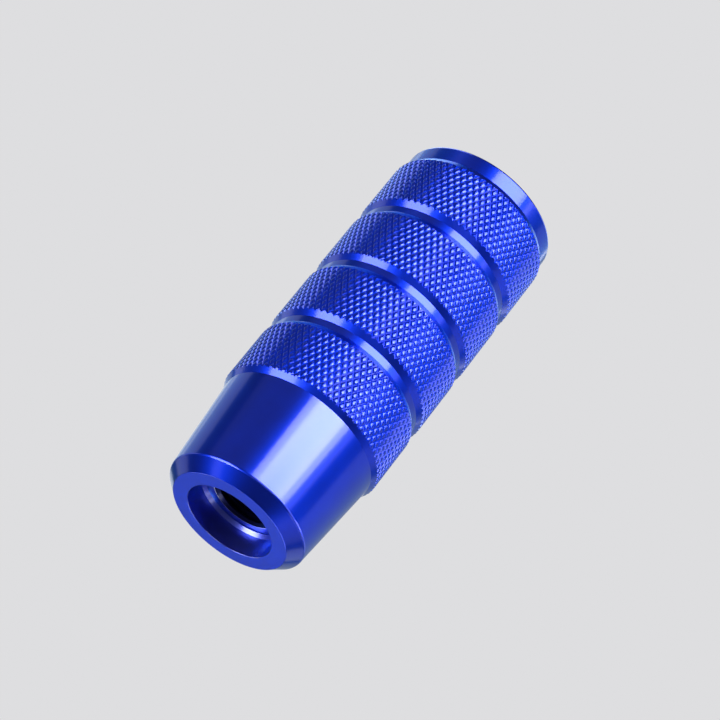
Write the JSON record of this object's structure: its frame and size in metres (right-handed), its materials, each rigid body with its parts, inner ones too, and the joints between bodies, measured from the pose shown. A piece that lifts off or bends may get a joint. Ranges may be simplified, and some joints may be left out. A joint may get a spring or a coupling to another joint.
{
  "type": "gear shift knob",
  "caption": "Turned aluminium gear shift knob with diamond-knurled bands, grooves between them, a tapered collar and a threaded hole for the lever.",
  "frame": {"origin": "centre of the bored end face, on which the knob stands", "axes": "+Z along the turning axis from the bored end to the head; +X and +Y are free, because the body is turned"},
  "size_m": [0.03, 0.03, 0.0761],
  "materials": {
    "anodised_body": "blue anodised over fine turning, satin sheen"
  },
  "bodies": {
    "root": {"knob_body": "anodised_body"}
  },
  "joints": []
}
